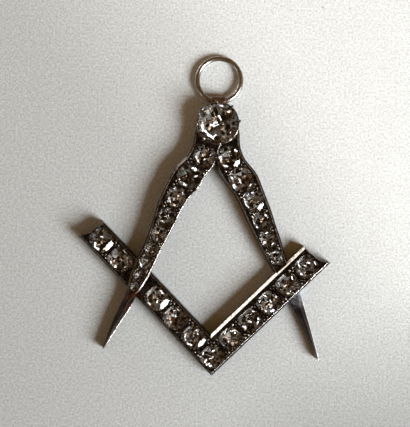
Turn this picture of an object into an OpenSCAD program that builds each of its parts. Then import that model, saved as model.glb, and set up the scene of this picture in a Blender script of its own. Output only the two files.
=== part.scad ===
// A pendant jewel: compasses laid over and under a square, in silver set with paste stones.
// It lies on its back, its face up (+Z) and its ring towards +Y. Sizes are in millimetres.

/* [Square] */
// Width of each arm of the square
arm_w = 5.56; // [4.8:0.02:6.6]
// Length of the left arm, from the middle of the corner stone to the arm's outer tip
left_arm_l = 36.2; // [33:0.1:40]
// Length of the right arm, from the middle of the corner stone to the arm's outer tip
right_arm_l = 30.2; // [27:0.1:34]
// Height of the square's top above its back
arm_h = 3.0; // [2.5:0.05:3.4]
// How much longer an arm is along its outer edge than along its inner edge
arm_tip_flare = 1.6; // [0.8:0.1:2.4]
// Depth of the hollow curve in each arm's end
arm_tip_hollow = 0.6; // [0.4:0.05:1]
// Distance from the middle of an arm's last stone to its outer tip
arm_tip_margin = 4.1; // [3.8:0.1:5]
// Width of the broad slope that is filed along the right arm's inner edge, outside arm_w
right_slope_w = 0.55; // [0.3:0.05:0.9]
// Height of that slope
right_slope_h = 0.5; // [0.3:0.05:1]

/* [Compasses] */
// Distance from the middle of the corner stone to the middle of the head stone
head_y = 46.7; // [44:0.1:50]
// Angle between the left leg and the jewel's middle line
left_leg_angle = 25.55; // [23:0.05:28]
// Angle between the right leg and the jewel's middle line
right_leg_angle = 24.3; // [22:0.05:27]
// Length of the left leg, from the middle of the head stone to its point
left_leg_l = 50.8; // [47:0.1:54]
// Length of the right leg, from the middle of the head stone to its point
right_leg_l = 51.5; // [47:0.1:55]
// Width of a leg where it is widest
leg_w = 6.0; // [5.5:0.05:6.6]
// How far the upper piece stands above the lower one where a leg and an arm cross
cross_step = 0.3; // [0.2:0.05:0.6]
// How far the left leg's top stands above the right leg's at the head
leg_step = 0.08; // [0.04:0.02:0.2]
// Height of each leg's point above its back
leg_tip_h = 2.2; // [0.8:0.1:2.2]

/* [Silver edges] */
// Width of the slope that is filed along the top edges
bevel_w = 0.4; // [0.2:0.05:0.6]
// Height of that slope
bevel_h = 0.5; // [0.3:0.05:0.8]
// Width of the thin rim along the left leg's inner edge
rim_w = 0.12; // [0.05:0.01:0.15]

/* [Head] */
// Diameter of the silver cup that holds the head stone
cup_d = 8.5; // [7.6:0.1:9.4]
// Thickness of the cup's wall at its top
cup_wall = 0.2; // [0.15:0.05:0.5]
// Height of the cup above the back
cup_h = 3.5; // [3.2:0.05:4]
// Thickness of the claws round the head stone
claw_d = 0.5; // [0.4:0.02:0.7]
// How far the claws stand above the cup
claw_rise = 0.35; // [0.1:0.05:0.6]
// Number of claws
claw_count = 8; // [6:1:12]
// Angle of the first claw, from the right-hand side
claw_turn = 6; // [0:1:45]

/* [Arm stones] */
// Distance between neighbouring stones of an arm, where they are closest
arm_stone_gap = 0.5; // [0.3:0.05:1]
// Flat silver left on each side of an arm's stones
arm_stone_margin = 0.08; // [0.05:0.01:0.4]

/* [Ring] */
// Diameter of the ring, from wire middle to wire middle
ring_d = 8.8; // [8.2:0.1:12]
// Thickness of the ring's wire
ring_wire_d = 1.1; // [0.7:0.05:1.3]
// Clearance between the ring's wire and the hole that it passes through
ring_clearance = 0.1; // [0.08:0.01:0.2]
// Length of the tube that holds the ring
tube_l = 2.8; // [2:0.1:3]
// Thickness of that tube's wall
tube_wall = 0.26; // [0.2:0.02:0.4]
// Depth to which the tube is let into the cup
tube_sink = 0.75; // [0.35:0.05:0.75]
// How far the tube stands off the surface that the jewel lies on
tube_lift = 0; // [0:0.1:1.2]

/* [Stone cut] */
// Width of a stone's flat top, as a share of the stone
table_share = 0.56; // [0.4:0.01:0.65]
// Height of a stone above its widest line, as a share of its width
crown_share = 0.13; // [0.12:0.01:0.22]
// Depth of a stone below its widest line, as a share of its width
pavilion_share = 0.34; // [0.28:0.01:0.36]
// Thickness of a stone at its widest line
girdle_t = 0.12; // [0.06:0.01:0.2]
// Clearance between a stone and the wall of its seat
seat_gap = 0.05; // [0.03:0.01:0.08]
// How far a stone's widest line lies below the silver round it
seat_sink = 0.1; // [0.05:0.01:0.3]
// Silver left between neighbouring stones of a leg
leg_stone_gap = 0.22; // [0.2:0.01:0.3]

/* [Hidden] */
left_arm_places = 6;
covered_place = 4;        // the place of the left arm that is bare, under the leg
right_arm_places = 5;

left_leg_names = [for (i = [1:9]) str("left_leg_stone_", i)];
right_leg_names = [for (i = [1:6]) str("right_leg_stone_", i)];
left_arm_seats = [for (i = [1:left_arm_places]) if (i != covered_place) i];
left_arm_names = [for (i = [1:len(left_arm_seats)]) str("left_arm_stone_", i)];
right_arm_names = [for (i = [1:right_arm_places]) str("right_arm_stone_", i)];

claw_clear = 0.03;        // between a claw and the edge of the head stone's seat
claw_foot_share = 0.33;   // height where the claws begin, as a share of the cup's
seat_wall_share = 2;      // depth of the head seat's upright wall, in girdle thicknesses
tip_edge_share = 0.4;     // width of the slope along an arm's hollow end, as a share of bevel_w
cup_fn = 96;
claw_fn = 24;
tube_fn = 48;
wire_fn = 32;
hollow_fn = 120;
silver = [0.42, 0.38, 0.35];
paste = [0.82, 0.84, 0.80];

leg_h = arm_h + cross_step;
right_leg_h = leg_h - leg_step;
right_cross_h = arm_h - cross_step;
head_r = cup_d / 2;
head_stone_d = cup_d - 2 * (cup_wall + seat_gap);
claw_at = head_r - cup_wall + claw_d / 2 + claw_clear;
wire_r = ring_wire_d / 2;
ring_r = ring_d / 2;

// The ring is curved where it passes through the straight tube, so it sits half of that bow
// off the tube's middle, and the hole is wider by the bow.
ring_bow = ring_r - sqrt(ring_r * ring_r - tube_l * tube_l / 4);
ring_reach = ring_r - ring_bow / 2;
bore_r = wire_r + ring_bow / 2 + ring_clearance;
tube_r = bore_r + tube_wall;
tube_y = head_y + head_r + tube_r - tube_sink;
tube_z = tube_r + tube_lift;
ring_tilt = asin((tube_z - wire_r) / (ring_reach + ring_r));

// The origin is under the middle of the whole jewel's box, on the surface that it lies on.
left_x = -(left_arm_l + arm_w / 2) / sqrt(2);
right_x = (right_arm_l + arm_w / 2) / sqrt(2);
low_y = -arm_w / sqrt(2);
high_y = tube_y + (ring_reach + ring_r) * cos(ring_tilt) + wire_r;
middle = [(left_x + right_x) / 2, (low_y + high_y) / 2, 0];

// Leg outline on its back: share of the leg's length, then the distances from its middle line
// to its edges as shares of leg_w: left leg outer, left leg inner, right leg outer, right leg inner.
leg_outline = [
    [0.000, 0.617, 0.500, 0.617, 0.500],
    [0.061, 0.583, 0.400, 0.558, 0.417],
    [0.108, 0.453, 0.458, 0.408, 0.517],
    [0.144, 0.408, 0.520, 0.358, 0.610],
    [0.177, 0.438, 0.492, 0.383, 0.655],
    [0.203, 0.517, 0.430, 0.453, 0.610],
    [0.232, 0.597, 0.425, 0.530, 0.550],
    [0.262, 0.613, 0.415, 0.553, 0.475],
    [0.293, 0.617, 0.325, 0.542, 0.415],
    [0.325, 0.613, 0.262, 0.533, 0.402],
    [0.384, 0.592, 0.240, 0.520, 0.385],
    [0.453, 0.487, 0.250, 0.467, 0.352],
    [0.512, 0.410, 0.240, 0.433, 0.317],
    [0.571, 0.372, 0.240, 0.370, 0.270],
    [0.620, 0.380, 0.253, 0.345, 0.217],
    [0.669, 0.337, 0.250, 0.328, 0.175],
    [0.728, 0.242, 0.208, 0.317, 0.125],
    [0.760, 0.162, 0.187, 0.308, 0.090],
    [0.807, 0.155, 0.175, 0.263, 0.075],
    [0.886, 0.133, 0.092, 0.183, 0.050],
    [1.000, 0.025, 0.013, 0.050, 0.017]
];
leg_sections = 40;
edge_share = 0.13;        // an edge slope is never wider than this share of the leg there
lean_share = 0.15;        // slope of the right leg's inner wall, as a share of the wall's distance
lean_h_share = 0.75;      // height of that slope, as a share of the leg's height
spike_from = 0.73;        // share of a leg's length where its plain spike begins
spike_full = 0.77;        // share where the spike's two long facets are full
spike_edge_share = 0.42;  // width of each of those facets, as a share of the spike
spike_edge_h = 0.45;      // their height, as a share of the spike's
drop_from = 0.2;          // shares between which the right leg slopes down to pass under the arm
drop_to = 0.63;

// The right leg's row of stones ends where the leg passes under the arm.
right_row_drop = head_y - sqrt(2) * (arm_w / 2 + right_slope_w);
right_row_l = right_row_drop / (sin(right_leg_angle) + cos(right_leg_angle));

// Leg stones, from the head down: length as a share of the leg's length, or of the right leg's row,
// then width and distance outward from the leg's middle line as shares of leg_w.
left_leg_stones = [
    [0.091, 0.745, -0.100],
    [0.096, 0.820, 0.040],
    [0.086, 0.655, 0.113],
    [0.075, 0.590, 0.092],
    [0.067, 0.520, 0.072],
    [0.059, 0.457, 0.050],
    [0.052, 0.423, 0.033],
    [0.047, 0.373, 0.017],
    [0.039, 0.318, 0.000]
];
right_leg_stones = [
    [0.148, 0.745, -0.100],
    [0.154, 0.820, -0.012],
    [0.139, 0.690, 0.098],
    [0.121, 0.600, 0.085],
    [0.109, 0.545, 0.045],
    [0.096, 0.465, 0.050]
];
left_first_from = 0.095;  // shares where the first stone of each leg begins
right_first_from = 0.155;
right_last_shift = 0.019; // share by which the right leg's last stone lies further down

round_power = 2;          // outline of a stone: 2 is an ellipse, more is squarer
leg_stone_power = 2.3;
arm_stone_power = 2.9;
star_share = 0.77;        // where a stone's upper and lower small facets meet its long ones
lower_share = 0.55;
culet_share = 0.12;
facets = 8;

function blend(from, to, x) = let (u = min(max((x - from) / (to - from), 0), 1)) u * u * (3 - 2 * u);
function ramp(from, to, x) = min(max((x - from) / (to - from), 0), 1);

// Smooth curve through the rows of a table: column c at share x.
function row_before(t, x, i = 0) = i >= len(t) - 2 || x <= t[i + 1][0] ? i : row_before(t, x, i + 1);
function tangent(t, c, i) =
    let (a = max(i - 1, 0), b = min(i + 1, len(t) - 1))
    (t[b][c] - t[a][c]) / (t[b][0] - t[a][0]);
function smooth_at(t, c, x) =
    let (i = row_before(t, x), d = t[i + 1][0] - t[i][0], u = (x - t[i][0]) / d)
    (2 * u ^ 3 - 3 * u ^ 2 + 1) * t[i][c] + (u ^ 3 - 2 * u ^ 2 + u) * d * tangent(t, c, i)
    + (3 * u ^ 2 - 2 * u ^ 3) * t[i + 1][c] + (u ^ 3 - u ^ 2) * d * tangent(t, c, i + 1);

function leg_top(right, x) =
    let (before = right ? right_leg_h - (right_leg_h - right_cross_h) * ramp(drop_from, drop_to, x) : leg_h)
    before - (before - leg_tip_h) * ramp(spike_from, 1, x);

// One section of a leg, as six points from its inner foot round to its outer foot.
function leg_section(right, x) =
    let (
        outer = leg_w * smooth_at(leg_outline, right ? 3 : 1, x),
        inner = leg_w * smooth_at(leg_outline, right ? 4 : 2, x),
        top = leg_top(right, x),
        spike = blend(spike_from, spike_full, x),
        edge = min(bevel_w, edge_share * (outer + inner)),
        inner_edge = right ? max(edge, lean_share * inner) : min(rim_w, edge),
        inner_edge_h = right ? lean_h_share * top : bevel_h / 2,
        facet = spike_edge_share * (outer + inner),
        facet_h = spike_edge_h * top,
        out_w = edge + (facet - edge) * spike,
        out_h = bevel_h + (facet_h - bevel_h) * spike,
        in_w = inner_edge + (facet - inner_edge) * spike,
        in_h = inner_edge_h + (facet_h - inner_edge_h) * spike
    )
    [
        [-inner, 0], [-inner, top - in_h], [in_w - inner, top],
        [outer - out_w, top], [outer, top - out_h], [outer, 0]
    ];

// Faces of a solid that is skinned over sections of the same number of points.
function skin_faces(sections, points) = concat(
    [for (i = [1:points - 2]) [0, i + 1, i]],
    [for (k = [0:sections - 2], i = [0:points - 1], half = [0, 1])
        let (j = (i + 1) % points, a = k * points, b = a + points)
        half == 0 ? [a + i, a + j, b + j] : [a + i, b + j, b + i]],
    [for (i = [1:points - 2]) let (a = (sections - 1) * points) [a, a + i, a + i + 1]]
);

function leg_length(right) = right ? right_leg_l : left_leg_l;
function leg_stones(right) = right ? right_leg_stones : left_leg_stones;
function row_length(right) = right ? right_row_l : left_leg_l;
function leg_stone_size(right, i) =
    let (row = leg_stones(right)[i])
    [row[0] * row_length(right), row[1] * leg_w];
function leg_stone_from(right, i) =
    i == 0 ? (right ? right_first_from : left_first_from) * row_length(right)
    : leg_stone_from(right, i - 1) + leg_stone_size(right, i - 1)[0] + leg_stone_gap;
function leg_stone_place(right, i) =
    let (
        last = i == len(leg_stones(right)) - 1,
        shift = right && last ? right_last_shift * right_row_l : 0,
        along = leg_stone_from(right, i) + leg_stone_size(right, i)[0] / 2 + shift
    )
    [along, leg_stones(right)[i][2] * leg_w, leg_top(right, along / leg_length(right)) - seat_sink];

// Stones of an arm. On the left arm they are spaced from the corner to the leg that crosses it,
// and from there to the tip.
left_cross = head_y * sin(left_leg_angle) / sin(45 + left_leg_angle);
left_in_pitch = left_cross / covered_place;
left_out_pitch = (left_arm_l - arm_tip_margin - left_cross) / (left_arm_places - covered_place);
right_pitch = (right_arm_l - arm_tip_margin) / right_arm_places;
arm_stone_w = arm_w - 2 * (bevel_w + arm_stone_margin + seat_gap);
function arm_pitch(right, place) =
    place == 0 ? min(left_in_pitch, right_pitch)
    : right ? right_pitch
    : place > covered_place ? left_out_pitch : left_in_pitch;
function arm_stone_size(right, place) = [arm_pitch(right, place) - arm_stone_gap, arm_stone_w];
function arm_stone_place(right, place) =
    let (past = right ? 0 : max(place - covered_place, 0))
    [(place - past) * (right ? right_pitch : left_in_pitch) + past * left_out_pitch, 0, arm_h - seat_sink];

// Outline of a stone of a given size, as a distance from its middle at angle a.
function outline_r(size, power, a) =
    (abs(2 * cos(a) / size[0]) ^ power + abs(2 * sin(a) / size[1]) ^ power) ^ (-1 / power);
function ring_points(size, power, share, from, count, z) = [
    for (i = [0:count - 1])
        let (a = from + i * 360 / count, r = share * outline_r(size, power, a))
        [r * cos(a), r * sin(a), z]
];

// A cut stone on its widest line: a flat top, crown facets, a girdle, pavilion facets, a small flat point.
module cut_stone(size, power) {
    n = facets;
    half = 180 / n;
    width = min(size[0], size[1]);
    crown = crown_share * width;
    pavilion = pavilion_share * width;
    star_z = crown * (1 - star_share * cos(half)) / (1 - table_share);
    lower_z = -girdle_t - pavilion * (1 - lower_share * cos(half)) / (1 - culet_share * cos(half));
    points = concat(
        ring_points(size, power, table_share, 0, n, crown),
        ring_points(size, power, star_share, half, n, star_z),
        ring_points(size, power, 1, 0, 2 * n, 0),
        ring_points(size, power, 1, 0, 2 * n, -girdle_t),
        ring_points(size, power, lower_share, half, n, lower_z),
        ring_points(size, power, culet_share, half, n, -girdle_t - pavilion)
    );
    star = n;
    rim = 2 * n;
    foot = 4 * n;
    low = 6 * n;
    tip = 7 * n;
    faces = concat(
        [for (i = [1:n - 2]) [0, i + 1, i]],
        [for (k = [0:n - 1]) let (m = (k + 1) % n) each [
            [k, m, star + k],
            [m, rim + 2 * m, star + k],
            [k, star + k, rim + 2 * k],
            [star + k, rim + 2 * k + 1, rim + 2 * k],
            [star + k, rim + 2 * m, rim + 2 * k + 1],
            [low + k, foot + 2 * k, foot + 2 * k + 1],
            [low + k, foot + 2 * k + 1, foot + 2 * m],
            [low + k, foot + 2 * m, low + m],
            [low + k, low + m, tip + m],
            [low + k, tip + m, tip + k]
        ]],
        [for (j = [0:2 * n - 1]) let (m = (j + 1) % (2 * n)) each [
            [rim + j, rim + m, foot + m],
            [rim + j, foot + m, foot + j]
        ]],
        [for (i = [1:n - 2]) [tip, tip + i, tip + i + 1]]
    );
    color(paste) polyhedron(points, faces);
}

// The seat that a stone needs, open at the top, with straight walls down to a given depth.
module seat(size, power, depth) {
    wide = [size[0] + 2 * seat_gap, size[1] + 2 * seat_gap];
    outline = [for (p = ring_points(wide, power, 1, 0, 2 * facets, 0)) [p[0], p[1]]];
    translate([0, 0, -depth])
        linear_extrude(depth + cup_h)
            polygon(outline);
}

function stone_depth(size) = girdle_t + pavilion_share * min(size[0], size[1]) + seat_gap;

// The head stone is deep, so its seat narrows to a cone below the stone's widest line.
module head_seat() {
    size = [head_stone_d, head_stone_d];
    wall = seat_wall_share * girdle_t;
    seat(size, round_power, wall);
    translate([0, 0, -stone_depth(size)])
        cylinder(
            h = stone_depth(size) - wall,
            r1 = culet_share * head_stone_d,
            r2 = cos(180 / facets / 2) * head_stone_d / 2,
            $fn = cup_fn
        );
}

module in_place() {
    translate(-middle)
        children();
}

// Puts its child at a leg's root: X runs down the leg and Y points away from the other leg.
module on_leg(right) {
    translate([0, head_y, 0])
        mirror([right ? 0 : 1, 0, 0])
            rotate([0, 0, (right ? right_leg_angle : left_leg_angle) - 90])
                children();
}

// Puts its child at the square's corner: X runs along an arm and Y points to its inner side.
module on_arm(right) {
    mirror([right ? 0 : 1, 0, 0])
        rotate([0, 0, 45])
            children();
}

module leg(right) {
    points = [
        for (k = [0:leg_sections], p = leg_section(right, k / leg_sections))
            [leg_length(right) * k / leg_sections, p[0], p[1]]
    ];
    polyhedron(points, skin_faces(leg_sections + 1, 6));
}

// An arm of the square. A broad slope of a given width lies outside its inner edge.
module arm(length, slope_w) {
    half = arm_w / 2;
    inner_edge = slope_w > 0
        ? [[half + slope_w, 0], [half + slope_w, arm_h - right_slope_h], [half, arm_h]]
        : [[half, 0], [half, arm_h - bevel_h], [half - bevel_w, arm_h]];
    section = concat(
        [[-half, 0]], inner_edge,
        [[bevel_w - half, arm_h], [-half, arm_h - bevel_h]]
    );
    side = [
        [-half, 0], [length, 0], [length, arm_h],
        [bevel_w - half, arm_h], [-half, arm_h - bevel_h]
    ];
    chord = sqrt(arm_tip_flare ^ 2 + arm_w ^ 2);
    hollow_r = (chord ^ 2 / 4 + arm_tip_hollow ^ 2) / (2 * arm_tip_hollow);
    out = (hollow_r - arm_tip_hollow) / chord;
    edge_w = tip_edge_share * bevel_w;
    difference() {
        intersection() {
            translate([-half, 0, 0])
                rotate([90, 0, 90])
                    linear_extrude(length + half)
                        polygon(section);
            translate([0, half + slope_w, 0])
                rotate([90, 0, 0])
                    linear_extrude(arm_w + slope_w)
                        polygon(side);
        }
        translate([length - arm_tip_flare / 2 + arm_w * out, arm_tip_flare * out, 0]) {
            translate([0, 0, -arm_h / 2])
                cylinder(h = 2 * arm_h, r = hollow_r, $fn = hollow_fn);
            translate([0, 0, arm_h - bevel_h])
                cylinder(h = 2 * bevel_h, r1 = hollow_r, r2 = hollow_r + 2 * edge_w, $fn = hollow_fn);
        }
    }
}

module cup() {
    claw_foot = claw_foot_share * cup_h;
    claw_bulb = cup_h + claw_rise - claw_d / 2;
    translate([0, head_y, 0]) {
        cylinder(h = cup_h, r = head_r, $fn = cup_fn);
        for (i = [0:claw_count - 1])
            rotate([0, 0, claw_turn + i * 360 / claw_count])
                translate([claw_at, 0, 0]) {
                    translate([0, 0, claw_foot])
                        cylinder(h = claw_bulb - claw_foot, r = claw_d / 2, $fn = claw_fn);
                    translate([0, 0, claw_bulb])
                        sphere(r = claw_d / 2, $fn = claw_fn);
                }
    }
}

module ring_tube() {
    translate([-tube_l / 2, tube_y, tube_z])
        rotate([0, 90, 0])
            cylinder(h = tube_l, r = tube_r, $fn = tube_fn);
}

module tube_bore() {
    translate([-tube_l, tube_y, tube_z])
        rotate([0, 90, 0])
            cylinder(h = 2 * tube_l, r = bore_r, $fn = tube_fn);
}

module all_seats() {
    translate([0, head_y, cup_h - seat_sink])
        head_seat();
    for (right = [false, true], i = [0:len(leg_stones(right)) - 1])
        on_leg(right)
            translate(leg_stone_place(right, i))
                seat(leg_stone_size(right, i), leg_stone_power, stone_depth(leg_stone_size(right, i)));
    for (i = left_arm_seats)
        on_arm(false)
            translate(arm_stone_place(false, i))
                seat(arm_stone_size(false, i), arm_stone_power, stone_depth(arm_stone_size(false, i)));
    for (i = [0:right_arm_places])
        on_arm(true)
            translate(arm_stone_place(true, i))
                seat(arm_stone_size(true, i), arm_stone_power, stone_depth(arm_stone_size(true, i)));
}

module square_and_compasses() {
    color(silver)
        in_place()
            difference() {
                union() {
                    cup();
                    ring_tube();
                    on_leg(false)
                        leg(false);
                    on_leg(true)
                        leg(true);
                    on_arm(false)
                        arm(left_arm_l, 0);
                    on_arm(true)
                        arm(right_arm_l, right_slope_w);
                }
                all_seats();
                tube_bore();
            }
}

module suspension_ring() {
    color(silver)
        in_place()
            translate([0, tube_y, tube_z])
                rotate([-ring_tilt, 0, 0])
                    translate([0, ring_reach, 0])
                        rotate_extrude($fn = cup_fn)
                            translate([ring_r, 0])
                                circle(r = wire_r, $fn = wire_fn);
}

module head_stone() {
    in_place()
        translate([0, head_y, cup_h - seat_sink])
            cut_stone([head_stone_d, head_stone_d], round_power);
}

module leg_stone(right, i) {
    in_place()
        on_leg(right)
            translate(leg_stone_place(right, i))
                cut_stone(leg_stone_size(right, i), leg_stone_power);
}

module arm_stone(right, place) {
    in_place()
        on_arm(right)
            translate(arm_stone_place(right, place))
                cut_stone(arm_stone_size(right, place), arm_stone_power);
}

module corner_stone() {
    arm_stone(true, 0);
}

square_and_compasses();
suspension_ring();
head_stone();
corner_stone();
for (i = [0:len(left_leg_names) - 1])
    leg_stone(false, i);
for (i = [0:len(right_leg_names) - 1])
    leg_stone(true, i);
for (i = [0:len(left_arm_seats) - 1])
    arm_stone(false, left_arm_seats[i]);
for (i = [0:right_arm_places - 1])
    arm_stone(true, i + 1);
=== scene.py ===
import math
import random

import bmesh
import bpy
from mathutils import Matrix, Vector


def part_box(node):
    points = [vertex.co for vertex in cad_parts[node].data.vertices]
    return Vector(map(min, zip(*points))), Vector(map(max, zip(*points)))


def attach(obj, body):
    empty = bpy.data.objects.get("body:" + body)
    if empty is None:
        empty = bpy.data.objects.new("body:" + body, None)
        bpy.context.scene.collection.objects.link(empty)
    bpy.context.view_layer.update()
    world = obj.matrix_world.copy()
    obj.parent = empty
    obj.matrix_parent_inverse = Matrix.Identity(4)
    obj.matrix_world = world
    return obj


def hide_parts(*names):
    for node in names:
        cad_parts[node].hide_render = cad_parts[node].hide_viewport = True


# A jewel of crossed compasses and square: dark old silver, paste stones over foil, a wire ring.
# Lengths are in millimetres until a mesh is made, and every place comes from the solids of the frame.
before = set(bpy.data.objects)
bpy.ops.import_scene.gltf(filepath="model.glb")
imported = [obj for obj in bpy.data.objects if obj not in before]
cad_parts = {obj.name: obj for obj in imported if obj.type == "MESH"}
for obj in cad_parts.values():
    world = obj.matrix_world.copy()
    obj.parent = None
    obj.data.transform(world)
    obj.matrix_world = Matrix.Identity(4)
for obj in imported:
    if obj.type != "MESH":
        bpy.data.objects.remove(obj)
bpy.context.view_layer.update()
random.seed(11)
mm = 0.001
up = Vector((0, 0, 1))


def numbered(row, count):
    return ["%s_%d" % (row, i) for i in range(1, count + 1)]


legStones = {"left": numbered("left_leg_stone", 9), "right": numbered("right_leg_stone", 6)}
armStones = {side: ["corner_stone"] + numbered(side + "_arm_stone", 5) for side in ("left", "right")}
stoneNames = (["head_stone"] + legStones["left"] + legStones["right"]
              + armStones["left"] + armStones["right"][1:])


# Directions on the paper and above it, from angles in radians

def level(azimuth):
    return Vector((math.cos(azimuth), math.sin(azimuth), 0))


def leaning(azimuth, slope):
    return Vector((math.cos(azimuth) * math.sin(slope), math.sin(azimuth) * math.sin(slope), math.cos(slope)))


def quarterTurn(way):
    return Vector((-way.y, way.x))


def turns(count):
    return [2 * math.pi * k / count for k in range(count)]


# Reading the stones' places from the frame

stoneReading = {"level": 0.002, "steps": 4}   # how far one level reaches, and points from corner to corner


# A stone's levels, its widest line and half width, and the ways that its table's corners lie
def readStone(name):
    corners = {tuple(round(c / mm, 4) for c in v.co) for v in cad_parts[name].data.vertices}
    levels = sorted({round(p[2], 3) for p in corners}, reverse=True)
    tableZ, girdleTop, girdleFoot, culetZ = levels[0], levels[2], levels[3], levels[-1]
    table = [Vector(p[:2]) for p in corners if abs(p[2] - tableZ) < stoneReading["level"]]
    middle = sum(table, Vector((0, 0))) / len(table)
    rim = [Vector(p[:2]) - middle for p in corners if abs(p[2] - girdleTop) < stoneReading["level"]]
    rim.sort(key=lambda p: math.atan2(p.y, p.x))
    faces = sorted(math.atan2((p - middle).y, (p - middle).x) for p in table)
    return {
        "name": name, "middle": middle, "rim": rim, "faces": faces, "tableZ": tableZ,
        "girdleTop": girdleTop, "girdleFoot": girdleFoot, "culetZ": culetZ,
        "half": min(p.length for p in rim),
    }


# Closed smooth outline through the corners of a stone's widest line, grown outward by a margin
def smoothOutline(rim, margin=0.0):
    count, steps = len(rim), stoneReading["steps"]
    outline = []
    for i in range(count):
        a, b, c, d = (rim[(i + k) % count] for k in (-1, 0, 1, 2))
        for j in range(steps):
            t = j / steps
            outline.append(0.5 * (2 * b + (c - a) * t + (2 * a - 5 * b + 4 * c - d) * t * t
                                  + (3 * b - a - 3 * c + d) * t ** 3))
    grown = []
    for i, point in enumerate(outline):
        ahead = outline[(i + 1) % len(outline)] - outline[i - 1]
        grown.append(point + Vector((ahead.y, -ahead.x)).normalized() * margin)
    return grown


# How far an outline reaches one way
def supportOf(outline, azimuth):
    return max(p.x * math.cos(azimuth) + p.y * math.sin(azimuth) for p in outline)


stones = {name: readStone(name) for name in stoneNames}
head = stones["head_stone"]
print("read", len(stones), "stones")


# The way that a leg runs, from the middle of the head stone through its row
def legWay(side):
    return (stones[legStones[side][-1]]["middle"] - head["middle"]).normalized()


# Making pieces

def finishPiece(name, mesh, body, material):
    piece = bpy.data.objects.new(name, mesh)
    mesh.materials.append(material)
    bpy.context.scene.collection.objects.link(piece)
    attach(piece, body)
    return piece


def pieceFromFaces(name, points, faces, body, slotName, material, smooth=True):
    mesh = bpy.data.meshes.new(name)
    mesh.from_pydata([point * mm for point in points], [], faces)
    if smooth:
        mesh.shade_smooth()
    mesh.validate()
    return finishPiece(name, mesh, body, material)


# Adds one tube, swept along a path, to a list of points and faces; an open path gets two end caps
def addTube(points, faces, path, sections, closed=False):
    size = len(sections[0])
    start = len(points)
    count = len(path)
    for spot, section in zip(path, sections):
        points.extend(spot + corner for corner in section)
    for i in range(count if closed else count - 1):
        a, b = start + i * size, start + ((i + 1) % count) * size
        faces.extend([a + k, a + (k + 1) % size, b + (k + 1) % size, b + k] for k in range(size))
    if not closed:
        faces.append([start + k for k in reversed(range(size))])
        faces.append([start + (count - 1) * size + k for k in range(size)])


# Making materials

def newMaterial(name):
    material = bpy.data.materials.new(name)
    material.use_nodes = True
    tree = material.node_tree
    tree.nodes.clear()
    shader = tree.nodes.new("ShaderNodeBsdfPrincipled")
    output = tree.nodes.new("ShaderNodeOutputMaterial")
    tree.links.new(shader.outputs["BSDF"], output.inputs["Surface"])
    return material, tree, shader


# Adds a node; a value that is a socket is linked, and any other is set
def addNode(tree, kind, inputs, **settings):
    made = tree.nodes.new("ShaderNode" + kind)
    for key, value in settings.items():
        setattr(made, key, value)
    for key, value in inputs.items():
        if isinstance(value, bpy.types.NodeSocket):
            tree.links.new(value, made.inputs[key])
        else:
            made.inputs[key].default_value = value
    return made


def inMillimetres(tree):
    place = addNode(tree, "TexCoord", {}).outputs["Object"]
    return addNode(tree, "VectorMath", {0: place, "Scale": 1 / mm}, operation="SCALE").outputs[0]


def noiseOf(tree, place, scale, detail, roughness=0.6):
    return addNode(tree, "TexNoise", {
        "Vector": place, "Scale": scale, "Detail": detail, "Roughness": roughness,
    }).outputs["Fac"]


def rampOf(tree, value, stops, mode="LINEAR"):
    made = addNode(tree, "ValToRGB", {"Fac": value})
    ramp = made.color_ramp
    ramp.interpolation = mode
    while len(ramp.elements) < len(stops):
        ramp.elements.new(0.5)
    for element, (at, colour) in zip(ramp.elements, stops):
        element.position = at
        element.color = (*colour, 1)
    return made.outputs["Color"]


def rangeOf(tree, value, low, high, toLow=0.0, toHigh=1.0):
    return addNode(tree, "MapRange", {
        "Value": value, "From Min": low, "From Max": high, "To Min": toLow, "To Max": toHigh,
    }).outputs["Result"]


def mathOf(tree, operation, a, b):
    return addNode(tree, "Math", {0: a, 1: b}, operation=operation).outputs[0]


def mixOf(tree, share, a, b):
    made = addNode(tree, "Mix", {}, data_type="RGBA")
    sockets = [s for s in made.inputs if s.type == "RGBA"]
    for socket, value in ((made.inputs[0], share), (sockets[0], a), (sockets[1], b)):
        if isinstance(value, bpy.types.NodeSocket):
            tree.links.new(value, socket)
        elif socket.type == "RGBA":
            socket.default_value = (*value, 1)
        else:
            socket.default_value = value
    return [s for s in made.outputs if s.type == "RGBA"][0]


def dotOf(tree, vector, direction):
    return addNode(tree, "VectorMath", {0: vector, 1: direction}, operation="DOT_PRODUCT").outputs["Value"]


def bumpOf(tree, shader, height, strength, depth):
    bump = addNode(tree, "Bump", {"Height": height, "Strength": strength, "Distance": depth * mm})
    tree.links.new(bump.outputs["Normal"], shader.inputs["Normal"])


# Noises are given by scale, detail and roughness, and ranges by the values where they start and end
silverLook = {
    "black": (0.006, 0.005, 0.005), "brown": (0.030, 0.018, 0.012), "grey": (0.075, 0.066, 0.058),
    "bare": (0.74, 0.71, 0.66), "bronze": (0.27, 0.185, 0.13), "toneSteps": (0.36, 0.52, 0.66),
    "broad": (0.45, 3.0), "middle": (2.2, 5.0, 0.65), "fine": (9.0, 4.0, 0.7),
    "blackened": (0.42, 0.62, 0.0, 0.75), "specks": (0.60, 0.70), "specked": (0.46, 0.60),
    "streak": (1.0, 4.0, 0.6), "streakLength": (0.5, 5.0, 5.0), "streaked": (0.4, 0.65),
    "tube": (-0.25, -0.05), "tubePatches": (0.62, 0.50),          # bronze, where the ring hangs
    "paintedReflectionWay": (-0.475, 0.475, 0.741), "paintedReflection": (0.975, 0.99),     # painted reflection: faces turned up to the upper left, as on the right arm's inner bevel, painted bare silver
    "paintedReflectionPatches": (0.58, 0.70), "roughness": (0.35, 0.65, 0.20, 0.42), "metallic": 0.92, "bump": (0.5, 0.05),
}
spikeLook = {                 # where the end of each leg begins and fades, from the head stone's middle
    "left": {"from": 37.5, "fade": (1, 6), "top": 9,
             "near": (0.12, 0.042, 0.020), "far": silverLook["brown"]},
    "right": {"from": 36.0, "fade": (2.9, 4.7), "top": 2.75,
              "near": (0.44, 0.485, 0.57), "far": (0.050, 0.034, 0.033)},
}
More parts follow.
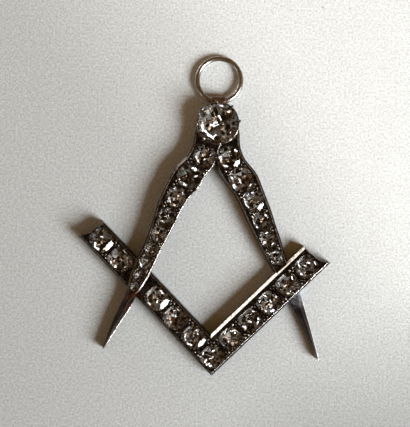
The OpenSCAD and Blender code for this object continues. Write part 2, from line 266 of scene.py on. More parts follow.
spikeEdge = {"along": 0.6, "aside": (2.6, 2.2), "top": 0.1}   # how softly a spike's tones stop


# How much of a place lies on the spike at the end of a leg, and how far its tone has gone from near to far
def spikeShare(tree, place, side):
    look, way = spikeLook[side], legWay(side)
    across = quarterTurn(way)
    along = mathOf(tree, "SUBTRACT", dotOf(tree, place, (*way, 0)), way.dot(head["middle"]))
    aside = mathOf(tree, "SUBTRACT", dotOf(tree, place, (*across, 0)), across.dot(head["middle"]))
    onSpike = mathOf(tree, "MULTIPLY", rangeOf(tree, along, look["from"], look["from"] + spikeEdge["along"]),
                     rangeOf(tree, mathOf(tree, "ABSOLUTE", aside, 0.0), *spikeEdge["aside"]))
    lowDown = rangeOf(tree, dotOf(tree, place, (0, 0, 1)), look["top"] + spikeEdge["top"], look["top"])
    fade = rangeOf(tree, along, *(look["from"] + reach for reach in look["fade"]))
    return mathOf(tree, "MULTIPLY", onSpike, lowDown), fade


def tarnishedSilverWithPaintedReflection():
    material, tree, shader = newMaterial("tarnished_silver_painted_reflection")
    look = silverLook
    place = inMillimetres(tree)
    normal = addNode(tree, "TexCoord", {}).outputs["Normal"]
    broad, middle, fine = (noiseOf(tree, place, *look[size]) for size in ("broad", "middle", "fine"))
    tones = [look[tone] for tone in ("black", "brown", "grey")]
    colour = rampOf(tree, middle, list(zip(look["toneSteps"], tones)))
    colour = mixOf(tree, rangeOf(tree, broad, *look["blackened"]), colour, look["black"])
    specks = mathOf(tree, "MULTIPLY", rangeOf(tree, fine, *look["specks"]),
                    rangeOf(tree, middle, *look["specked"]))
    colour = mixOf(tree, specks, colour, look["bare"])

    for side, spikeTones in spikeLook.items():
        way = legWay(side)
        spike, fade = spikeShare(tree, place, side)
        drawn = addNode(tree, "Mapping", {
            "Vector": place, "Rotation": (0, 0, -math.atan2(way.y, way.x)), "Scale": look["streakLength"],
        }, vector_type="TEXTURE").outputs["Vector"]
        tone = mixOf(tree, fade, spikeTones["near"], spikeTones["far"])
        streaks = rangeOf(tree, noiseOf(tree, drawn, *look["streak"]), *look["streaked"])
        colour = mixOf(tree, spike, colour, mixOf(tree, streaks, tone, look["black"]))

    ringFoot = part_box("suspension_ring")[0].y / mm
    onTube = rangeOf(tree, dotOf(tree, place, (0, 1, 0)), *(ringFoot + reach for reach in look["tube"]))
    onTube = mathOf(tree, "MULTIPLY", onTube, rangeOf(tree, middle, *look["tubePatches"]))
    colour = mixOf(tree, onTube, colour, look["bronze"])

    # Painted reflection: faces turned up and to the upper left, such as the right arm's inner bevel, are
    # painted bare silver in patches
    paintedReflection = rangeOf(tree, dotOf(tree, normal, look["paintedReflectionWay"]), *look["paintedReflection"])
    paintedReflectionTone = mixOf(tree, rangeOf(tree, middle, *look["paintedReflectionPatches"]), look["bare"], look["grey"])
    colour = mixOf(tree, paintedReflection, colour, paintedReflectionTone)
    tree.links.new(colour, shader.inputs["Base Color"])
    tree.links.new(rangeOf(tree, middle, *look["roughness"]), shader.inputs["Roughness"])
    shader.inputs["Metallic"].default_value = look["metallic"]
    bumpOf(tree, shader, mixOf(tree, 0.5, middle, fine), *look["bump"])
    return material


# Silver that hands and cloth keep bright, and the lips round the stones, painted near black as painted shade
rubbedAndPaintedShadeLook = {
    "rubbed_edges": {"bare": (0.78, 0.75, 0.70), "dark": (0.10, 0.07, 0.05), "spread": (0.50, 0.62)},
    "rubbed_grains": {"bare": (0.52, 0.49, 0.45), "dark": (0.030, 0.024, 0.020), "spread": (0.46, 0.58)},
    "rubbed_lines": {"bare": (0.80, 0.78, 0.74), "dark": (0.16, 0.13, 0.11), "spread": (0.55, 0.70)},
    # painted shade: the lips round the stones are near black, lighter in patches
    "painted_shade_lips": {"bare": (0.012, 0.010, 0.009), "dark": (0.16, 0.14, 0.12), "spread": (0.60, 0.74)},
    "worn_tips": {"bare": (0.95, 0.94, 0.92), "dark": (0.60, 0.57, 0.54), "spread": (0.60, 0.75)},
    "ring_silver": {"bare": (0.46, 0.45, 0.43), "dark": (0.13, 0.11, 0.09), "spread": (0.50, 0.68)},
}
rubbedFinish = {
    "patches": (1.4, 4.0), "fine": (8.0, 3.0), "wear": (0.3, 0.7), "keen": (0.16, 0.34), "dull": (0.42, 0.55),
    "bump": (0.25, 0.02),
}


def rubbedAndPaintedShadeSilver(name, rough="keen", darkSpikes=False):
    material, tree, shader = newMaterial(name)
    look, finish = rubbedAndPaintedShadeLook[name], rubbedFinish
    place = inMillimetres(tree)
    patches, fine = (noiseOf(tree, place, *finish[size]) for size in ("patches", "fine"))
    colour = mixOf(tree, rangeOf(tree, patches, *look["spread"]), look["bare"], look["dark"])
    for side in legStones if darkSpikes else ():
        colour = mixOf(tree, spikeShare(tree, place, side)[0], colour, silverLook["brown"])
    tree.links.new(colour, shader.inputs["Base Color"])
    tree.links.new(rangeOf(tree, fine, *finish["wear"], *finish[rough]), shader.inputs["Roughness"])
    shader.inputs["Metallic"].default_value = 1.0
    bumpOf(tree, shader, fine, *finish["bump"])
    return material


foilLook = {
    "tones": [
        (0.00, (0.004, 0.0035, 0.0035)), (0.20, (0.065, 0.046, 0.042)), (0.34, (0.32, 0.24, 0.20)),
        (0.46, (0.40, 0.42, 0.40)), (0.58, (0.84, 0.70, 0.58)), (0.72, (0.74, 0.80, 0.88)),
        (0.86, (0.98, 0.98, 1.0)),
    ],
    "dark": (0.018, 0.015, 0.015), "broad": (0.28, 2.0), "darkened": (0.50, 0.66, 0.0, 0.5),
    "roughness": (0.16, 0.46), "dents": (3.0, 3.0), "bump": (0.3, 0.03),
    "inside": 0.012, "below": 0.02, "steepest": -0.05,        # it lines the pavilion, just inside the glass
    "shard": (0.8, 1.6), "shardShare": 0.62, "splits": 2, "crumple": 0.05,
    "paintedPaleWay": (-0.93, -0.36), "paintedPaleFrom": 0.35, "paintedPaleLift": 0.5,     # painted light: paler towards the stone's left
    "paintedDarkReach": 0.7, "paintedDarkDrop": 0.2,                              # and a painted dark reflection about its middle
}
sparkLook = {                 # small mirrors in the foil that throw the window's light up
    "tones": [
        (0.0, (0.070, 0.045, 0.030)), (0.35, (0.14, 0.11, 0.085)), (0.65, (0.25, 0.26, 0.30)),
        (0.9, (0.6, 0.62, 0.7)),
    ],
    "roughness": (0.08, 0.22), "jitter": 6.0, "crownSlopes": (41.5, 19.0), "depth": 0.225,
    "steepFrom": 0.8, "gentleFrom": 0.57, "litFrom": 0.6,     # where the crown's facets lie over a spark
    "alongRimFrom": 0.7, "spin": 40,                          # farther in, sparks point every way
    "outline": ((-1, -1), (1, -0.6), (0.8, 1), (-0.9, 0.7)),
}
anySide = ((205, 34, 0.5), (70, 24, 0.75), (300, 60, 1.0))    # azimuth, spread, and share of all up to it
leftSide = ((205, 26, 1.0),)
sparkKinds = {                # count is for any stone, and more for each millimetre of half width
    "rim": {"count": (2.0, 2.6), "share": (0.64, 0.84), "long": (0.20, 0.42), "wide": (0.06, 0.12),
            "tone": (0.2, 1.0), "sides": anySide},
    "heart": {"count": (0.6, 1.8), "share": (0.10, 0.60), "long": (0.12, 0.30), "wide": (0.05, 0.10),
              "tone": (0.0, 0.8), "sides": anySide},
    "crescent": {"count": (7, 0), "share": (0.68, 0.79), "long": (0.24, 0.50), "wide": (0.07, 0.14),
                 "tone": (0.7, 1.0), "sides": leftSide},      # along the head stone's left rim only
}


# The shard attribute holds a tone, a roughness, and 1 for a spark; the foil's tones carry painted light and a
# painted dark reflection
def tarnishedFoilWithPaintedLight():
    material, tree, shader = newMaterial("tarnished_foil_painted_light")
    place = inMillimetres(tree)
    shard = addNode(tree, "Attribute", {}, attribute_name="shard").outputs["Vector"]
    toneAt, roughAt, isSpark = addNode(tree, "SeparateXYZ", {0: shard}).outputs
    broad = noiseOf(tree, place, *foilLook["broad"])
    colour = rampOf(tree, toneAt, foilLook["tones"], "CONSTANT")
    colour = mixOf(tree, rangeOf(tree, broad, *foilLook["darkened"]), colour, foilLook["dark"])
    colour = mixOf(tree, isSpark, colour, rampOf(tree, toneAt, sparkLook["tones"]))
    tree.links.new(colour, shader.inputs["Base Color"])
    dull = rangeOf(tree, roughAt, 0.0, 1.0, *foilLook["roughness"])
    keen = rangeOf(tree, roughAt, 0.0, 1.0, *sparkLook["roughness"])
    notSpark = mathOf(tree, "SUBTRACT", 1.0, isSpark)
    rough = mathOf(tree, "ADD", mathOf(tree, "MULTIPLY", dull, notSpark),
                   mathOf(tree, "MULTIPLY", keen, isSpark))
    tree.links.new(rough, shader.inputs["Roughness"])
    shader.inputs["Metallic"].default_value = 1.0
    bumpOf(tree, shader, noiseOf(tree, place, *foilLook["dents"]), *foilLook["bump"])
    return material


pasteLook = {
    "colour": (0.97, 0.96, 0.93), "tint": (0.90, 0.90, 0.84), "clouds": (0.2, 1.0), "tinted": (0.4, 0.6),
    "wear": (1.6, 5.0, 0.7), "roughness": (0.50, 0.75, 0.0, 0.03), "waves": (0.8, 2.0), "bump": (0.05, 0.02),
    "ior": 1.55,
}


def pasteGlass():
    material, tree, shader = newMaterial("paste_glass")
    place = inMillimetres(tree)
    wear, clouds, waves = (noiseOf(tree, place, *pasteLook[size]) for size in ("wear", "clouds", "waves"))
    tint = mixOf(tree, rangeOf(tree, clouds, *pasteLook["tinted"]), pasteLook["colour"], pasteLook["tint"])
    tree.links.new(tint, shader.inputs["Base Color"])
    tree.links.new(rangeOf(tree, wear, *pasteLook["roughness"]), shader.inputs["Roughness"])
    shader.inputs["Transmission Weight"].default_value = 1.0
    shader.inputs["IOR"].default_value = pasteLook["ior"]
    bumpOf(tree, shader, waves, *pasteLook["bump"])
    return material


silver = tarnishedSilverWithPaintedReflection()
edgeSilver = rubbedAndPaintedShadeSilver("rubbed_edges", darkSpikes=True)
grainSilver = rubbedAndPaintedShadeSilver("rubbed_grains")
lineSilver = rubbedAndPaintedShadeSilver("rubbed_lines")
paintedShadeLipSilver = rubbedAndPaintedShadeSilver("painted_shade_lips")
wornSilver = rubbedAndPaintedShadeSilver("worn_tips", "dull")
ringSilver = rubbedAndPaintedShadeSilver("ring_silver")
foil = tarnishedFoilWithPaintedLight()
glass = pasteGlass()
print("materials made")


# The three lights, in degrees and millimetres; the sparks in the stones turn towards the window
lightLook = {
    "window": {"azimuth": -31, "elevation": 32, "distance": 1000, "size": (460, 500), "power": 18.6,
               "colour": (0.965, 0.985, 1.0)},
    "card": {"azimuth": 140, "elevation": 9, "distance": 700, "size": (280, 90), "power": 0.65,
             "colour": (1.0, 0.97, 0.93)},
    "panel": {"azimuth": 205, "elevation": 33, "distance": 900, "size": (100, 100), "power": 0.32,
              "colour": (0.95, 0.97, 1.0)},
}


def wayTo(light):
    return leaning(math.radians(light["azimuth"]), math.radians(90 - light["elevation"]))


# Silver body: its edges are rounded and bright

bodyFinish = {"weld": 0.002, "edge": 0.045, "angle": 24, "segments": 2}
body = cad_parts["square_and_compasses"]
body.data.materials.clear()
body.data.materials.append(silver)
body.data.materials.append(edgeSilver)
weld = body.modifiers.new("weld", "WELD")
weld.merge_threshold = bodyFinish["weld"] * mm
bevel = body.modifiers.new("rounded_edges", "BEVEL")
bevel.width = bodyFinish["edge"] * mm
bevel.segments = bodyFinish["segments"]
bevel.limit_method = "ANGLE"
bevel.angle_limit = math.radians(bodyFinish["angle"])
bevel.use_clamp_overlap = False
bevel.harden_normals = True
bevel.material = 1            # the second material, edgeSilver
print("silver body finished")


# Stones: each one is ground from a disc, facet by facet

stoneCut = {                  # pairs are shares of the reach and of the height of crown or pavilion
    "table": 0.57, "shoulder": (0.80, 0.68), "culet": 0.10, "under": (0.52, 0.62),
    "belt": (0.84, 0.60), "star": (0.77, 0.68), "starInside": 0.05, "brilliantFrom": 1.1,
    "lean": (-1.2, 1.2), "tilt": 1.4,     # how the stones sit, and how unevenly, in degrees
}
# Stones with one wide facet turned to the window, which starts at these shares of the reach and the crown
windowFacets = {
    "right_leg_stone_1": (0.89, 0.25), "right_leg_stone_3": (0.83, 0.33), "left_arm_stone_5": (0.90, 0.17),
    "left_arm_stone_3": (0.89, 0.13), "left_arm_stone_1": (0.88, 0.24),
}
windowFacet = {"azimuth": -36, "slope": 30}


# Cuts away all that lies outside the plane through two places, each a reach and a height
def grind(blank, azimuth, low, high):
    way = level(azimuth)
    rise = high[1] - low[1]
    inward = low[0] - high[0]
    cut = bmesh.ops.bisect_plane(
        blank, geom=blank.verts[:] + blank.edges[:] + blank.faces[:], dist=1e-5,
        plane_co=way * low[0] + up * low[1], plane_no=way * rise + up * inward, clear_outer=True)
    border = [e for e in cut["geom_cut"] if isinstance(e, bmesh.types.BMEdge) and len(e.link_faces) == 1]
    if len(border) > 2:
        bmesh.ops.contextual_create(blank, geom=border)


# A stone about its own middle; grow moves every facet outward
def cutStone(stone, grow=0.0):
    cut = stoneCut
    outline = smoothOutline(stone["rim"], grow)
    girdle = stone["girdleTop"] - stone["girdleFoot"]
    crown = stone["tableZ"] - stone["girdleTop"] + grow
    culet = stone["culetZ"] - stone["girdleTop"] - grow
    blank = bmesh.new()
    rings = [[blank.verts.new((p.x, p.y, z)) for p in outline] for z in (culet, crown)]
    count = len(outline)
    for i in range(count):
        j = (i + 1) % count
        blank.faces.new((rings[0][i], rings[0][j], rings[1][j], rings[1][i]))
    blank.faces.new(rings[1])
    blank.faces.new(list(reversed(rings[0])))
    for face in stone["faces"]:
        reach = supportOf(outline, face)
        shoulder = (reach * cut["shoulder"][0], crown * cut["shoulder"][1])
        grind(blank, face, (reach, 0), shoulder)
        grind(blank, face, shoulder, (reach * cut["table"], crown))
        grind(blank, face, (reach * cut["culet"], culet), (reach, -girdle))
        beside = face + math.pi / 8       # halfway to the next main facet
        between = supportOf(outline, beside)
        under, belt, star = ((between * cut[key][0], height * cut[key][1])
                             for key, height in (("under", culet), ("belt", crown), ("star", crown)))
        grind(blank, beside, under, (between, -girdle))
        if stone["half"] > cut["brilliantFrom"]:
            grind(blank, beside, (between, 0), belt)
            grind(blank, beside, star, (between * (cut["table"] - cut["starInside"]), crown))
    if stone["name"] in windowFacets:
        start, height = windowFacets[stone["name"]]
        azimuth, slope = math.radians(windowFacet["azimuth"]), math.tan(math.radians(windowFacet["slope"]))
        reach = supportOf(outline, azimuth) * start
        run = stone["half"] / 2
        grind(blank, azimuth, (reach, crown * height), (reach - run, crown * height + run * slope))
    bmesh.ops.recalc_face_normals(blank, faces=blank.faces[:])
    return blank


# Where a stone sits, and how it leans there
def seatOf(stone):
    tilt = 0.0 if stone["name"] in windowFacets else stoneCut["tilt"]
    right, away = [lean + random.uniform(-1, 1) * tilt for lean in stoneCut["lean"]]
    turn = Matrix.Rotation(math.radians(right), 4, "Y") @ Matrix.Rotation(math.radians(-away), 4, "X")
    return Matrix.Translation((*stone["middle"], stone["girdleTop"])) @ turn


# Breaks the foil under a stone into small shards that lean a little, each its own way
def crumple(shell, half):
    least, most = foilLook["shard"]
    shard = min(most, max(least, foilLook["shardShare"] * half))
    for k in range(foilLook["splits"]):
        bmesh.ops.triangulate(shell, faces=shell.faces[:])
        wide = [e for e in shell.edges if e.calc_length() > shard]
        bmesh.ops.subdivide_edges(shell, edges=wide, cuts=1)
    bmesh.ops.triangulate(shell, faces=shell.faces[:])
    shell.normal_update()
    for corner in shell.verts:
        corner.co -= corner.normal * random.uniform(0, foilLook["crumple"] * half)


# A shard's tone and roughness by its place in the stone, as a share of the stone's half width: a random tone
# with painted light towards the left and a painted dark reflection about the middle
def shardLook(share):
    paintedPale = max(0.0, share.dot(Vector(foilLook["paintedPaleWay"])) - foilLook["paintedPaleFrom"])
    heart = max(0.0, foilLook["paintedDarkReach"] - share.length)
    lift = foilLook["paintedPaleLift"] * paintedPale - foilLook["paintedDarkDrop"] * heart
    tone = min(0.999, max(0.0, random.random() + lift))
    return (tone, random.random(), 0.0)


# The way that light takes inside the glass after it comes in through a facet, looking back along it
def bent(way, facet):
    ior = pasteLook["ior"]
    onto = way.dot(facet)
    through = math.sqrt(1 - (1 - onto * onto) / ior ** 2)
    return way / ior + facet * (through - onto / ior)


foilParts = bmesh.new()
shardLooks = []
sparks = {"points": [], "faces": [], "looks": []}


# The glass of one stone, in its seat
def setGlass(stone, seat):
    blank = cutStone(stone)
    blank.transform(Matrix.Scale(mm, 4) @ seat)
    mesh = bpy.data.meshes.new(stone["name"] + "_cut")
    blank.to_mesh(mesh)
    blank.free()
    piece = finishPiece(stone["name"] + "_cut", mesh, "jewel", glass)
    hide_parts(stone["name"])


# The foil that lines the lower half of a stone, just inside the glass
def addFoil(stone, seat):
    shell = cutStone(stone, -foilLook["inside"])
    top = stone["girdleFoot"] - stone["girdleTop"] - foilLook["below"]
    doomed = [f for f in shell.faces if f.calc_center_median().z > top or f.normal.z > foilLook["steepest"]]
    bmesh.ops.delete(shell, geom=doomed, context="FACES")
    crumple(shell, stone["half"])
    for face in shell.faces:
        shardLooks.extend(shardLook(face.calc_center_median().xy / stone["half"]))
    shell.transform(Matrix.Scale(mm, 4) @ seat)
    lining = bpy.data.meshes.new("lining")
    shell.to_mesh(lining)
    shell.free()
    foilParts.from_mesh(lining)
    bpy.data.meshes.remove(lining)


# One small mirror, turned so that it shows the window to an eye above the stone
def addSpark(stone, seat, kind):
    half = stone["half"]
    draw = random.random()
    azimuth, spread = next((a, s) for a, s, upTo in kind["sides"] if draw <= upTo)
    azimuth = math.radians(random.gauss(azimuth, spread))
    share = random.uniform(*kind["share"])
    look = sparkLook
    steep, gentle = (math.radians(slope) for slope in look["crownSlopes"])
    overhead = steep if share > look["steepFrom"] else gentle if share > look["gentleFrom"] else 0
    above = leaning(azimuth, overhead)
    lit = leaning(azimuth, gentle if share > look["litFrom"] else 0)
    facing = (bent(up, above).normalized() + bent(wayTo(lightLook["window"]), lit).normalized()).normalized()
    facing += Vector((random.gauss(0, 1), random.gauss(0, 1), 0)) * math.radians(look["jitter"]) / 2
    outward = level(azimuth).xy
    along = quarterTurn(outward) if share >= look["alongRimFrom"] else level(draw * look["spin"]).xy
    across = quarterTurn(along)
    long, wide = (random.uniform(*kind[key]) * half / 2 for key in ("long", "wide"))
    z = stone["girdleFoot"] - stone["girdleTop"] - look["depth"] * (1 - share) * half
    start = len(sparks["points"])
    for a, b in look["outline"]:
        shift = along * a * long + across * b * wide
        spot = outward * share * half + shift
        sparks["points"].append(seat @ Vector((*spot, z - facing.xy.dot(shift) / facing.z)))
    sparks["faces"].append([start + k for k in range(len(look["outline"]))])
    sparks["looks"].extend((random.uniform(*kind["tone"]), random.random(), 1.0))


for name, stone in stones.items():
    seat = seatOf(stone)
    setGlass(stone, seat)
    addFoil(stone, seat)
    for kind, look in sparkKinds.items():
        if kind != "crescent" or name == "head_stone":
            for k in range(round(look["count"][0] + look["count"][1] * stone["half"])):
                addSpark(stone, seat, look)
foilMesh = bpy.data.meshes.new("stone_foils")
foilParts.to_mesh(foilMesh)
foilParts.free()
finishPiece("stone_foils", foilMesh, "jewel", foil)
sparkPiece = pieceFromFaces("foil_sparks", sparks["points"], sparks["faces"], "jewel", "silver", foil, False)
for mesh, looks in ((foilMesh, shardLooks), (sparkPiece.data, sparks["looks"])):
    shards = mesh.attributes.new("shard", "FLOAT_VECTOR", "FACE")
    shards.data.foreach_set("vector", looks)
print("stones cut and foiled")


# Thin silver lips pressed over the stones' edges

plateRise = 0.1               # the silver's face over a stone's widest line
lipLook = {
    "inner": -0.10, "innerTop": -0.03, "innerFoot": -0.08, "rise": 0.05, "foot": -0.12,
    "armOut": 0.10, "legOut": 0.05,
}


def addLip(points, faces, stone, out):
    look = lipLook
    rings = []
    for outward, height in ((look["inner"], look["innerTop"]), (0.0, look["rise"]), (out, 0.0),
                            (out, look["foot"]), (look["inner"], look["innerFoot"])):
        rings.append([Vector((p.x, p.y, height)) for p in smoothOutline(stone["rim"], outward)])
    middle = Vector((*stone["middle"], stone["girdleTop"] + plateRise))
    sections = list(zip(*rings))
    addTube(points, faces, [middle] * len(sections), sections, closed=True)


points, faces = [], []
for name in stoneNames[1:]:
    addLip(points, faces, stones[name], lipLook["legOut" if "leg" in name else "armOut"])
# The lips carry painted shade, near black round each stone
pieceFromFaces("stone_lips", points, faces, "jewel", "silver", paintedShadeLipSilver)
print("lips pressed")


# Grains raised between the stones

grainLook = {
    "radius": (0.15, 0.26), "flat": 0.8, "rings": 5, "sides": 8, "rise": 0.02, "apart": 0.42, "inner": 0.22,
    "arm": 0.80, "leg": 0.82,                                         # how far out, as a share of the stones
    "outerFrom": 1.6, "innerFrom": 1.8, "apartFrom": 2,               # narrower stones have smaller grains
    "widestGap": 7,
}


# A small ball, a little flattened, with flat caps at its poles
def addGrain(points, faces, middle, radius):
    start = len(points)
    rings, sides = grainLook["rings"], grainLook["sides"]
    for i in range(1, rings + 1):
        lift = math.pi * i / (rings + 1)
        for turn in turns(sides):
            points.append(middle + radius * Vector((
                math.sin(lift) * math.cos(turn), math.sin(lift) * math.sin(turn),
                math.cos(lift) * grainLook["flat"])))
    for i in range(rings - 1):
        a, b = start + i * sides, start + (i + 1) * sides
        faces.extend([a + k, b + k, b + (k + 1) % sides, a + (k + 1) % sides] for k in range(sides))
    faces.append([start + k for k in range(sides)])
    faces.append([start + (rings - 1) * sides + k for k in reversed(range(sides))])


# Three grains on each side of the gap between two stones
def addGrainsBetween(points, faces, first, second, share):
    look = grainLook
    a, b = first["middle"], second["middle"]
    way = (b - a).normalized()
    across = quarterTurn(way)
    gap = (a + b) / 2 + way * (supportOf(first["rim"], math.atan2(way.y, way.x))
                               - supportOf(second["rim"], math.atan2(-way.y, -way.x))) / 2
    half = (supportOf(first["rim"], math.atan2(across.y, across.x))
            + supportOf(second["rim"], math.atan2(across.y, across.x))) / 2
    z = (first["girdleTop"] + second["girdleTop"]) / 2 + plateRise + look["rise"]
    for side in (-1, 1):
        for shift in (-1, 1):
            radius = random.uniform(*look["radius"]) * min(1.0, half / look["outerFrom"])
            beside = way * shift * look["apart"] * min(1.0, half / look["apartFrom"])
            spot = gap + across * side * half * share + beside
            addGrain(points, faces, Vector((*spot, z)), radius)
        spot = gap + across * side * half * (share - look["inner"])
        addGrain(points, faces, Vector((*spot, z)), look["radius"][0] * min(1.0, half / look["innerFrom"]))


points, faces = [], []
for rows, share in ((armStones, grainLook["arm"]), (legStones, grainLook["leg"])):
    for row in rows.values():
        for first, second in zip(row, row[1:]):
            if (stones[first]["middle"] - stones[second]["middle"]).length < grainLook["widestGap"]:
                addGrainsBetween(points, faces, stones[first], stones[second], share)
pieceFromFaces("setting_grains", points, faces, "jewel", "silver", grainSilver)
print("grains raised")


# Thin rubbed line along the right edge of each spike, with a blunt bright tip on the right one

spikeLine = {
    "from": 37.0, "height": (0.9, 1.9), "aside": 1.6, "near": 0.35, "beyond": 0.1,   # corners that count
    "radius": 0.075, "thinnest": 0.4, "taper": 3, "sides": 8, "tip": 0.30,
}


# Corners of the body on the right edge of a leg's end: each one has a partner near it on its left
def rightEdge(way):
    across = quarterTurn(way)
    corners = {}
    for corner in body.data.vertices:
        spot = corner.co / mm
        along = (spot.xy - head["middle"]).dot(way)
        aside = (spot.xy - head["middle"]).dot(across)
        high = spikeLine["height"][0] < spot.z < spikeLine["height"][1]
        if high and along > spikeLine["from"] and abs(aside) < spikeLine["aside"]:
            corners[round(along, 2), round(aside, 2)] = spot.copy()
    path = []
    for here in sorted(corners):
        beside = [there[1] for there in corners if abs(here[0] - there[0]) < spikeLine["near"]]
        if min(beside) < here[1] - spikeLine["beyond"] and max(beside) == here[1]:
            path.append(corners[here])
    return path


for side, material in (("left", lineSilver), ("right", wornSilver)):
    way = legWay(side)
    across = Vector((*quarterTurn(way), 0))
    path = rightEdge(way)
    sections = []
    for k in range(len(path)):
        full = min(1.0, (len(path) - k) / spikeLine["taper"], (k + 1) / spikeLine["taper"])
        thick = spikeLine["radius"] * (spikeLine["thinnest"] + (1 - spikeLine["thinnest"]) * full)
        sections.append([
            (across * math.cos(turn) + up * math.sin(turn)) * thick for turn in turns(spikeLine["sides"])])
    points, faces = [], []
    addTube(points, faces, path, sections)
    pieceFromFaces(side + "_spike_line", points, faces, "jewel", "silver", material)

# The right leg is the last one drawn above, so its way and its side still hold
nearLeg = [c.co / mm for c in body.data.vertices
           if abs((c.co / mm - Vector((*head["middle"], 0))).dot(across)) < 2 * spikeLine["aside"]]
tip = max(nearLeg, key=lambda spot: spot.xy.dot(way) + spot.z / 100)      # the highest of the farthest
points, faces = [], []
addGrain(points, faces, tip - Vector((*way, 0)) * spikeLine["tip"] / 2, spikeLine["tip"])
pieceFromFaces("spike_tip", points, faces, "jewel", "silver", wornSilver)
print("spikes rubbed")


# Claw tips bent over the head stone

clawLook = {
    "count": 8, "first": 6, "dark": (0, 1, 2),        # the claws on the upper right are darker
    "steps": 6, "sides": 10, "out": 0.33, "over": 0.42, "rise": 0.36, "arch": 0.08, "drop": 0.10,
    "thick": 0.15, "wide": 1.25, "flat": 0.7, "thinnest": 0.02,
}
bright, dark = ([], []), ([], [])
for i in range(clawLook["count"]):
    points, faces = dark if i in clawLook["dark"] else bright
    outward = level(math.radians(clawLook["first"] + i * 360 / clawLook["count"]))
    sideways = Vector((*quarterTurn(outward), 0))
    path, sections = [], []
    for k in range(clawLook["steps"] + 1):
        t = k / clawLook["steps"]
        radius = head["half"] + clawLook["out"] - clawLook["over"] * t
        arch = clawLook["arch"] * math.sin(math.pi * t) - clawLook["drop"] * t
        height = head["girdleTop"] + clawLook["rise"] + arch
        path.append(Vector((*head["middle"], 0)) + outward * radius + up * height)
        thick = clawLook["thick"] * math.sqrt(max(clawLook["thinnest"], 1 - t ** 3))
        sections.append([
            sideways * math.cos(turn) * thick * clawLook["wide"]
            + up * math.sin(turn) * thick * clawLook["flat"] for turn in turns(clawLook["sides"])])
    addTube(points, faces, path, sections)
pieceFromFaces("claw_tips", *bright, "jewel", "silver", edgeSilver)
pieceFromFaces("dark_claw_tips", *dark, "jewel", "silver", silver)
print("claws bent")


# Ring of round wire, a little worn and uneven

ringLook = {"steps": 160, "sides": 20, "uneven": 0.012, "waves": (3, 7), "flat": 0.03, "nearMiddle": 0.4}
low, high = (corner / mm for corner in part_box("suspension_ring"))
middle = (low + high) / 2
corners = [v.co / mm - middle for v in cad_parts["suspension_ring"].data.vertices]
reaches = [abs(p.x) for p in corners if abs(p.y) < ringLook["nearMiddle"]]
wire = max(reaches) - min(reaches)
ringRadius = (high.x - low.x) / 2 - wire / 2
tilt = math.atan2(high.z - low.z - wire, high.y - low.y - wire)
layBack = Matrix.Rotation(-tilt, 3, "X")
path, sections = [], []
for turn in turns(ringLook["steps"]):
    outward = level(turn)
    slow, fast = ringLook["waves"]
    wave = ringLook["uneven"] * (math.sin(slow * turn + 1) + math.sin(fast * turn)) / 2
    path.append(middle + layBack @ (outward * ringRadius))
    section = []
    for s in turns(ringLook["sides"]):
        worn = ringLook["flat"] * max(0, -math.cos(s)) ** 3       # on the ring's inner side
        radius = wire / 2 * (1 - ringLook["uneven"] - wave - worn)
        section.append(layBack @ (outward * math.cos(s) * radius + up * math.sin(s) * radius))
    sections.append(section)
points, faces = [], []
addTube(points, faces, path, sections, closed=True)
ring = pieceFromFaces("ring_wire", points, faces, "ring", "ring_silver", ringSilver)
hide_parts("suspension_ring")
print("ring drawn")


# Paper that the jewel lies on, with painted light that makes it brighter towards its upper right and painted
# shade towards its lower right

paperLook = {
    "size": 1200, "paintedLightWay": (0.8, 0.6), "reach": 56, "white": (1.275, 1.345, 1.355),
    "tones": [
        (0.0, 0.45), (0.22, 0.50), (0.44, 0.545), (0.5, 0.585), (0.64, 0.70), (0.73, 0.82), (0.8, 0.88),
        (1.0, 0.905),
    ],
    "paintedShadeWay": (0.6, -0.8), "paintedShadeRange": (34, 60, 0.0, 0.36), "black": (0, 0, 0),
    "fibres": (2.4, 5.0, 0.7), "rough": (0.30, 0.70, 0.0, 0.50), "bump": (0.6, 0.12),
    "clouds": (0.25, 3.0), "cloudy": (0.35, 0.65, 0.0, 0.05), "cloud": (0.35, 0.34, 0.33),
    "flecks": (0.9, 2.0), "flecked": (0.735, 0.76, 0.0, 0.65), "fleck": (0.12, 0.105, 0.095),
    "roughness": 0.9, "specular": 0.1,
}


def whitePaper():
    material, tree, shader = newMaterial("white_paper")
    look = paperLook
    place = inMillimetres(tree)
    along = dotOf(tree, place, (*look["paintedLightWay"], 0))
    # Painted light: the paper's tone rises towards its upper right
    tone = rampOf(tree, rangeOf(tree, along, -look["reach"], look["reach"]), [
        (at, tuple(light * c for c in look["white"])) for at, light in look["tones"]])
    # Painted shade towards the lower right
    paintedShade = rangeOf(tree, dotOf(tree, place, (*look["paintedShadeWay"], 0)), *look["paintedShadeRange"])
    tone = mixOf(tree, paintedShade, tone, look["black"])
    fibres, clouds, flecks = (noiseOf(tree, place, *look[size]) for size in ("fibres", "clouds", "flecks"))
    tone = mixOf(tree, rangeOf(tree, fibres, *look["rough"]), tone, look["black"])
    tone = mixOf(tree, rangeOf(tree, clouds, *look["cloudy"]), tone, look["cloud"])
    tone = mixOf(tree, rangeOf(tree, flecks, *look["flecked"]), tone, look["fleck"])
    tree.links.new(tone, shader.inputs["Base Color"])
    shader.inputs["Roughness"].default_value = look["roughness"]
    shader.inputs["Specular IOR Level"].default_value = look["specular"]
    bumpOf(tree, shader, fibres, *look["bump"])
    return material


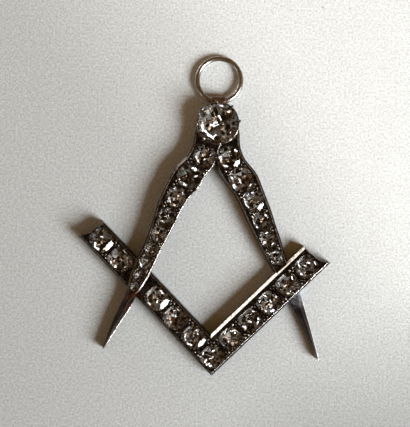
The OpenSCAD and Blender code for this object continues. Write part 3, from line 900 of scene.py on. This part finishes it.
edge = paperLook["size"] / 2 * mm
sheet = [(-edge, -edge, 0), (edge, -edge, 0), (edge, edge, 0), (-edge, edge, 0)]
paperMesh = bpy.data.meshes.new("paper")
paperMesh.from_pydata(sheet, [], [(0, 1, 2, 3)])
paperMesh.materials.append(whitePaper())
paper = bpy.data.objects.new("paper", paperMesh)
bpy.context.scene.collection.objects.link(paper)
print("paper laid")


# Light: the window low on the right, a pale card and a panel on the left, and a warm room

roomLook = {
    "tones": [(0.0, (0.20, 0.103, 0.032)), (0.35, (0.20, 0.103, 0.030)), (1.0, (0.16, 0.085, 0.028))],
    "strength": 1.0,
}
for name, look in lightLook.items():
    light = bpy.data.lights.new(name, "AREA")
    light.shape = "RECTANGLE"
    light.size, light.size_y = look["size"][0] * mm, look["size"][1] * mm
    light.energy = look["power"]
    light.color = look["colour"]
    lamp = bpy.data.objects.new(name, light)
    lamp.location = wayTo(look) * look["distance"] * mm
    lamp.rotation_euler = wayTo(look).to_track_quat("Z", "Y").to_euler()
    bpy.context.scene.collection.objects.link(lamp)
world = bpy.data.worlds.new("room")
bpy.context.scene.world = world
world.use_nodes = True
tree = world.node_tree
direction = addNode(tree, "TexCoord", {}).outputs["Generated"]
lift = addNode(tree, "SeparateXYZ", {0: direction}).outputs["Z"]
background = tree.nodes["Background"]
tree.links.new(rampOf(tree, lift, roomLook["tones"]), background.inputs["Color"])
background.inputs["Strength"].default_value = roomLook["strength"]
print("lights set")


# Camera: straight above, turned as the photograph is

cameraLook = {
    "above": 230, "plane": 2.85, "across": 82.0,      # the picture's width, in a plane near the square's face
    "fromHead": (-2.134, -18.145), "turn": 1.47, "sensor": 36.0, "clip": 10,
}
camera = bpy.data.cameras.new("camera")
camera.sensor_fit = "HORIZONTAL"
camera.sensor_width = cameraLook["sensor"]
camera.lens = cameraLook["sensor"] * cameraLook["above"] / cameraLook["across"]
camera.clip_start = cameraLook["clip"] * mm
cameraObject = bpy.data.objects.new("camera", camera)
aim = head["middle"] + Vector(cameraLook["fromHead"])
cameraObject.location = Vector((*aim, cameraLook["above"] + cameraLook["plane"])) * mm
cameraObject.rotation_euler = (0, 0, math.radians(cameraLook["turn"]))
bpy.context.scene.collection.objects.link(cameraObject)
bpy.context.scene.camera = cameraObject
bpy.context.scene.view_settings.view_transform = "Standard"
print("camera set")
